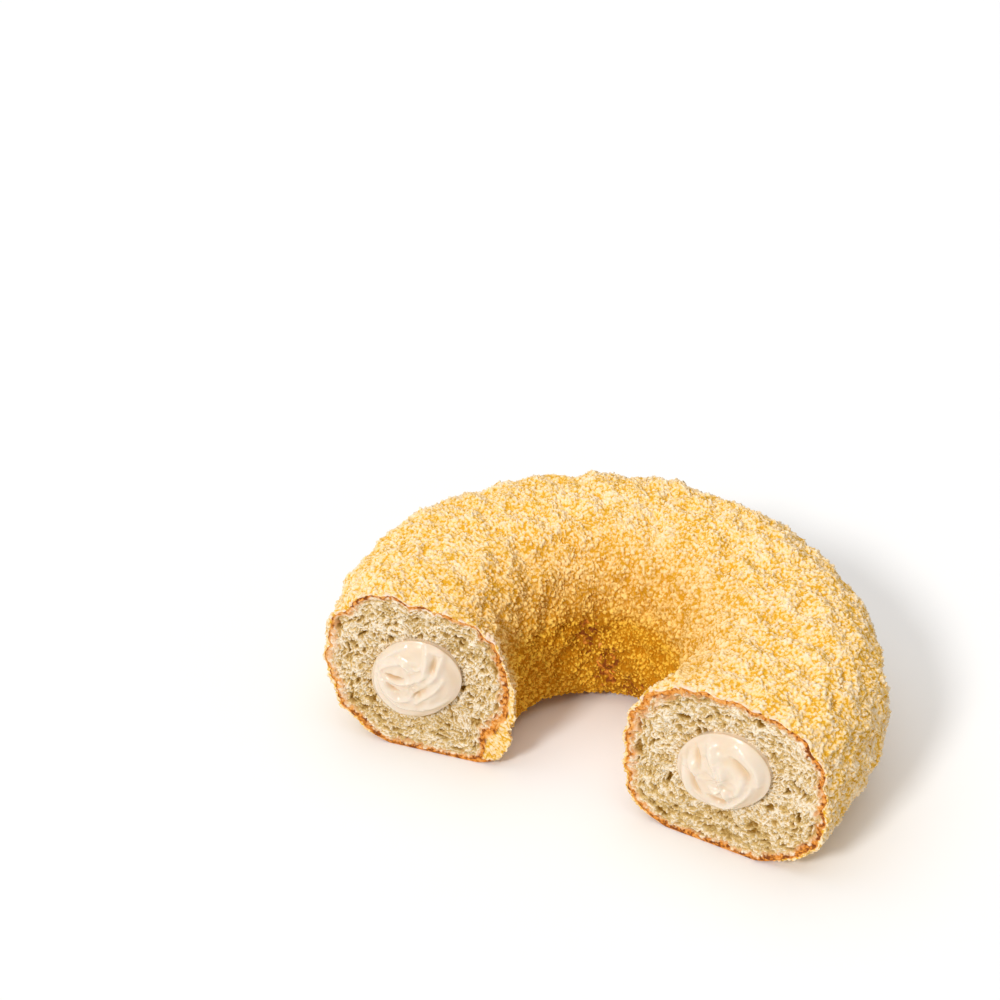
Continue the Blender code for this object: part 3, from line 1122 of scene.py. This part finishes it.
@dataclass(frozen=True)
class Fold:
    """One fold of the cream on a dome, as a bent ridge or crease.

    Attributes:
        start: Where it starts, across and up the dome, each from -1 to 1.
        bend: The point that it bends towards.
        end: Where it ends.
        width: Its half width, in dome half widths.
        height: How high it stands, in millimetres; a crease has less than 0.
    """

    start: tuple[float, float]
    bend: tuple[float, float]
    end: tuple[float, float]
    width: float
    height: float

    def rise(self, places: np.ndarray) -> np.ndarray:
        """How high the fold stands at places on the dome, in millimetres."""
        share = np.linspace(0.0, 1.0, 33)[:, None]
        start, bend, end = np.array(self.start), np.array(self.bend), np.array(self.end)
        line = (1 - share) ** 2 * start + 2 * share * (1 - share) * bend + share**2 * end
        away = np.linalg.norm(places[:, None] - line[None], axis=2)
        near = np.argmin(away, axis=1)
        taper = np.sin(math.pi * np.clip(near / 32, 0.06, 0.94)) ** 0.6
        return self.height * taper * np.exp(-((away.min(axis=1) / (self.width * (0.4 + 0.4 * taper))) ** 2))


FOLDS = {
    Side.LEFT: (
        Fold((-0.92, 0.28), (-0.72, 0.70), (-0.20, 0.86), 0.09, 0.35),
        Fold((-0.84, 0.10), (-0.58, 0.62), (-0.16, 0.54), 0.10, 0.45),
        Fold((-0.30, 0.66), (-0.12, 0.56), (0.02, 0.36), 0.09, 0.45),
        Fold((-0.60, 0.14), (-0.40, 0.10), (-0.18, 0.16), 0.06, -0.75),
        Fold((-0.54, 0.04), (-0.08, 0.02), (0.36, 0.36), 0.09, 0.50),
        Fold((-0.52, -0.06), (-0.38, -0.18), (-0.26, -0.16), 0.05, -0.55),
        Fold((-0.66, -0.02), (-0.24, -0.66), (0.12, -0.12), 0.09, 0.50),
        Fold((-0.78, 0.22), (-0.76, -0.46), (0.22, -0.70), 0.09, 0.40),
        Fold((-0.92, 0.24), (-0.92, -0.34), (-0.28, -0.82), 0.08, 0.28),
        Fold((0.26, 0.92), (0.38, 0.55), (0.18, 0.20), 0.08, 0.50),
        Fold((0.30, 0.80), (0.60, 0.80), (0.58, 0.70), 0.07, 0.25),
        Fold((0.60, 0.74), (0.55, 0.34), (0.28, 0.12), 0.09, 0.50),
        Fold((0.44, 0.70), (0.46, 0.50), (0.36, 0.34), 0.06, -0.45),
        Fold((0.64, 0.26), (0.46, -0.16), (0.12, -0.44), 0.09, 0.45),
        Fold((0.34, 0.04), (0.22, -0.16), (0.02, -0.26), 0.07, -0.40),
        Fold((0.20, -0.62), (0.60, -0.60), (0.80, -0.32), 0.09, 0.28),
        Fold((0.02, 0.46), (0.14, 0.36), (0.20, 0.52), 0.05, 0.30),
    ),
    Side.RIGHT: (
        Fold((-0.34, 0.80), (-0.10, 0.62), (-0.06, 0.10), 0.15, 0.65),
        Fold((0.02, 0.42), (0.12, 0.16), (0.04, -0.12), 0.10, 0.50),
        Fold((-0.10, -0.20), (0.02, -0.34), (0.10, -0.22), 0.07, 0.60),
        Fold((0.10, -0.24), (0.34, -0.34), (0.24, -0.58), 0.10, 0.60),
        Fold((-0.14, -0.44), (0.02, -0.62), (0.22, -0.60), 0.07, -0.60),
        Fold((-0.10, -0.72), (0.34, -0.84), (0.52, -0.46), 0.10, 0.60),
        Fold((-0.74, 0.36), (-0.62, 0.02), (-0.40, -0.12), 0.12, 0.50),
        Fold((-0.82, 0.12), (-0.72, -0.50), (-0.40, -0.78), 0.11, 0.50),
        Fold((-0.60, -0.06), (-0.46, -0.40), (-0.30, -0.50), 0.07, -0.45),
        Fold((0.24, 0.84), (0.72, 0.64), (0.80, 0.10), 0.12, 0.55),
        Fold((0.22, 0.60), (0.50, 0.44), (0.56, 0.10), 0.08, -0.45),
        Fold((0.46, 0.24), (0.54, -0.10), (0.42, -0.34), 0.11, 0.50),
        Fold((-0.62, 0.60), (-0.48, 0.36), (-0.46, 0.10), 0.08, -0.40),
        Fold((0.66, -0.02), (0.66, -0.36), (0.50, -0.56), 0.08, 0.35),
    ),
}


@dataclass(frozen=True)
class Dome:
    """How the cream in one cut strays from an even oval.

    Attributes:
        side: The arm.
        slant: How far it is drawn out to the upper right and the lower left, as a share.
        width: Its width against the oval's.
        height: Its height against the oval's.
        shift: How far it sits to the right of the oval and above it, in metres.
    """

    side: Side
    slant: float
    width: float
    height: float
    shift: tuple[float, float]


@dataclass
class CreamCord:
    """The cream: a cord through the ring that swells out of both cuts in glossy folds."""

    form: RingForm
    columns: int = 250
    hidden_rows: int = 36
    dome_rows: int = 84
    overlap: float = 0.0004
    ripple: float = 0.18
    domes: tuple[Dome, ...] = (
        Dome(Side.LEFT, 0.11, 0.94, 1.07, (-0.0003, 0.0)),
        Dome(Side.RIGHT, 0.10, 0.94, 1.03, (-0.0002, 0.0009)),
    )

    def _folds(self, side: Side, across: np.ndarray, rise: np.ndarray) -> np.ndarray:
        """How high the folds stand on a dome.

        Args:
            side: The arm.
            across: Places across the dome as seen from the front, from -1 to 1.
            rise: Places up it, from -1 to 1.

        Returns:
            Heights in millimetres.
        """
        places = np.stack([across, rise], axis=1)
        drift = np.stack([across, rise, np.full(len(across), 3.0 * side.value)], axis=1)
        strayed = places + 0.04 * warp(drift, 0.5)[:, :2]
        reach, turn = np.hypot(across, rise) * 3.2, np.arctan2(rise, across) * 0.9
        swirl = np.stack([reach, turn, drift[:, 2]], axis=1)
        return sum(fold.rise(strayed) for fold in FOLDS[side]) + self.ripple * perlin(swirl, 0.50)

    def build(self, material: bpy.types.Material) -> bpy.types.Object:
        """Builds the cord.

        Args:
            material: Its finish.

        Returns:
            The piece, with the number "crease" for the painted shade on its points.
        """
        rows = self.hidden_rows + 2 * self.dome_rows
        row, column = (axis.ravel() for axis in np.indices((rows - 1, self.columns)))
        row = row + 1
        around = 2 * math.pi * column / self.columns
        from_middle = np.abs(row - rows / 2)
        run = np.clip((row - self.dome_rows) / self.hidden_rows, 0.0, 1.0)
        past = np.clip((from_middle - self.hidden_rows / 2) / self.dome_rows, 0.0, 1.0)
        share = np.cos(past * math.pi / 2) ** 0.9
        out_share, up_share = share * np.cos(around), share * np.sin(around)
        points = np.empty((len(row), 3))
        crease = np.zeros(len(row))
        for dome in self.domes:
            side = dome.side
            own = (row < rows / 2) if side is Side.LEFT else (row >= rows / 2)
            lip = smoothstep(0.0, 0.15, past[own]) * self.overlap
            near = smoothstep(0.5, 1.0, 2 * from_middle[own] / self.hidden_rows)
            slant = dome.slant * side.value * np.sin(2 * around[own])
            wobble = 0.015 * np.sin(3 * around[own] + side.value) + slant
            wide, tall = (1.0 + (wobble + size - 1.0) * near for size in (dome.width, dome.height))
            out = self.form.cream_offset + (self.form.cream_half_width + lip) * out_share[own] * wide
            out = out + dome.shift[0] * side.value * near
            level = self.form.cream_level + (self.form.cream_half_height + lip) * up_share[own] * tall
            level = level + dome.shift[1] * near
            folds = self._folds(side, out_share[own] * side.value, up_share[own])
            strength = smoothstep(0.02, 0.30, past[own])
            bulge = self.form.cream_bulge * np.sin(past[own] * math.pi / 2) ** 0.8
            bulge = bulge + (1.5 * folds - 0.55) * MM * strength
            normal = self.form.cut_plane(side)[1]
            points[own] = self.form.place(run[own], out, level) + bulge[:, None] * normal
            # Painted shade: crease is high in the creases between folds and low on the ridges.
            crease[own] = 0.35 - 1.2 * folds * strength
        shape = (rows - 1, self.columns)
        numbers = {"crease": np.clip(crease, 0.0, 1.0).reshape(shape)}
        return add_skin("cream_cord", points.reshape(*shape, 3), numbers, material, flat_ends=False)


@dataclass(frozen=True)
class Lamp:
    """A broad lamp far away.

    Attributes:
        name: Its name.
        aim: The direction in which it shines.
        strength: Its strength.
        spread: How wide it looks from the ring, in degrees.
    """

    name: str
    aim: tuple[float, float, float]
    strength: float
    spread: float

    def add(self) -> None:
        """Adds the lamp."""
        data = bpy.data.lights.new(self.name, "SUN")
        data.energy = self.strength
        data.angle = math.radians(self.spread)
        data.color = (1.0, 0.99, 0.975)
        lamp = bpy.data.objects.new(self.name, data)
        lamp.rotation_euler = Vector(self.aim).to_track_quat("-Z", "Y").to_euler()
        bpy.context.scene.collection.objects.link(lamp)


@dataclass
class Studio:
    """The pale floor, the soft light and the camera at the photograph's angle."""

    form: RingForm
    heading: float = math.radians(24.58)
    pitch: float = math.radians(-36.51)
    roll: float = math.radians(-0.5)
    camera_place: tuple[float, float, float] = (0.1303, -0.3230, 0.3140)
    lens: float = 96.74
    sensor: float = 36.0
    floor_size: float = 6.0
    floor_gap: float = 0.0001
    surroundings: float = 0.36
    lamps: tuple[Lamp, ...] = (
        Lamp("key", (0.159, 0.749, -0.643), 1.6, 12),
        Lamp("overhead", (0.10, 0.0, -1.0), 1.25, 70),
    )

    def add_camera(self) -> None:
        """Adds the camera, at its place from the foot of the ring's axis."""
        data = bpy.data.cameras.new("camera")
        data.lens = self.lens
        data.sensor_width = self.sensor
        data.clip_start = 0.01
        camera = bpy.data.objects.new("camera", data)
        turn = Matrix.Rotation(self.heading, 4, "Z")
        turn = turn @ Matrix.Rotation(math.pi / 2 + self.pitch, 4, "X")
        place = Vector(self.form.centre) + Vector(self.camera_place)
        camera.matrix_world = Matrix.Translation(place) @ turn @ Matrix.Rotation(self.roll, 4, "Z")
        bpy.context.scene.collection.objects.link(camera)
        bpy.context.scene.camera = camera

    def add_floor(self) -> None:
        """Adds the floor, just under the ring."""
        deselect_all()
        bpy.ops.mesh.primitive_plane_add(size=self.floor_size, location=(0, 0, -self.floor_gap))
        floor = bpy.context.object
        floor.name = "floor"
        graph = Graph("pale_floor")
        floor.data.materials.append(graph.finish(Base_Color=(0.95, 0.95, 0.95, 1.0), Roughness=0.9))

    def add_light(self) -> None:
        """Adds the key from the upper left, the soft light from above and the pale surroundings."""
        for lamp in self.lamps:
            lamp.add()
        world = bpy.data.worlds.new("surroundings")
        world.use_nodes = True
        sky = world.node_tree.nodes["Background"].inputs
        sky["Color"].default_value = (1.0, 1.0, 1.0, 1.0)
        sky["Strength"].default_value = self.surroundings
        bpy.context.scene.world = world

    def build(self) -> None:
        """Adds all of it."""
        bpy.context.scene.view_settings.view_transform = "Standard"
        self.add_camera()
        self.add_floor()
        self.add_light()


def main() -> None:
    """Builds the pieces in order and reports each."""
    logging.basicConfig(level=logging.INFO, format="%(name)s %(message)s")
    form = RingForm()
    Studio(form).build()
    coat = CrumbCoat(form)
    coat_material = CoatFinish().material()
    for wedge in range(coat.wedges):
        hand_over(coat.build(wedge, coat_material), "doughnut")
    bread_material = BreadFinish().material()
    for side in Side:
        hand_over(BreadSlice(form, coat, side).build(bread_material), "doughnut")
    hand_over(CreamCord(form).build(CreamFinish().material()), "cream")


if __name__ == "__main__":
    main()
